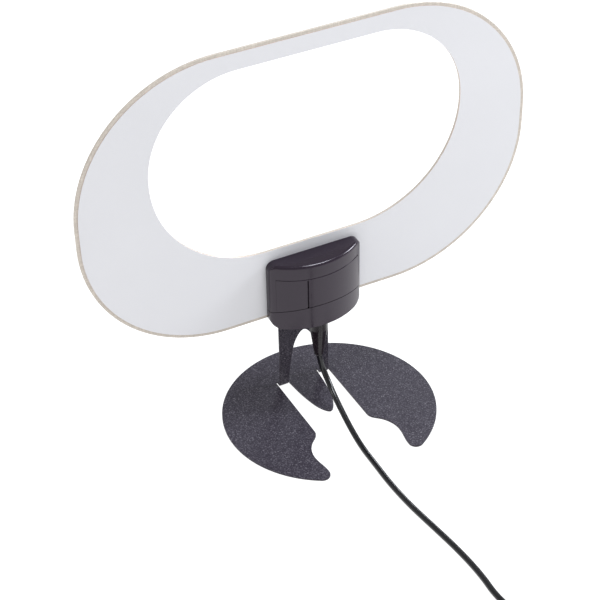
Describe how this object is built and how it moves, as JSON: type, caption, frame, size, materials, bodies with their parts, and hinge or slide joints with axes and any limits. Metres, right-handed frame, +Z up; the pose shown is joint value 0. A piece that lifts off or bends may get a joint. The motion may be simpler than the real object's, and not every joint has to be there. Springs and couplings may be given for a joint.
{
  "type": "loop antenna",
  "caption": "Indoor television antenna: an oblong ring panel held upright by a small housing on a lanced steel disk stand, with a coaxial lead and plug.",
  "frame": {"origin": "centre of the stand's disk, on the surface that the disk rests on", "axes": "+Z up, +X to the right seen from the front, +Y to the back; the housing's curved front faces -Y"},
  "size_m": [0.2572, 0.298, 0.2316],
  "materials": {
    "black_powder_coat": "textured black powder coat",
    "white_mask": "smooth satin white lacquer",
    "copper_foil": "bare copper foil, satin",
    "laminate": "bare beige glass-fibre laminate, satin",
    "gloss_black": "glossy black moulded plastic",
    "black_moulding": "matt black moulded plastic",
    "screw_steel": "zinc plated",
    "circuit_green": "green circuit board",
    "tin_plate": "tin plated sheet",
    "ferrite": "sintered ferrite",
    "ceramic": "ceramic chips",
    "contact_brass": "bright brass",
    "cable_black": "smooth glossy black PVC",
    "boot_black": "satin black PVC",
    "tie_black": "nylon",
    "plug_nickel": "nickel plated",
    "plug_white": "white insulator"
  },
  "bodies": {
    "stand": {"stand_plate": "black_powder_coat", "coax_cable": "cable_black", "cable_coil": "cable_black", "cable_tie": "tie_black", "coax_plug_lead": "cable_black", "plug_relief": "boot_black", "plug_grip": "boot_black", "plug_sleeve": "plug_nickel", "plug_insulator": "plug_white", "plug_pin": "plug_nickel"},
    "head": {"front_coating": "white_mask", "radiating_loop": "copper_foil", "panel_laminate": "laminate", "front_cover": "gloss_black", "base_shell": "gloss_black", "bracket_socket": "black_moulding", "case_screws": "screw_steel", "board_screws": "screw_steel", "amplifier_board": "circuit_green", "shield_can": "tin_plate", "balun_core": "ferrite", "chip_parts": "ceramic", "feed_contact_left": "contact_brass", "feed_contact_right": "contact_brass", "inner_lead": "cable_black", "cable_clamp": "black_moulding", "clamp_screws": "screw_steel", "cable_boot": "boot_black"}
  },
  "joints": [
    {"name": "head_lift_off", "type": "slide", "parent": "stand", "child": "head", "axis": [0, -0.044, 0.999], "range_m": [0, 0.028]}
  ]
}
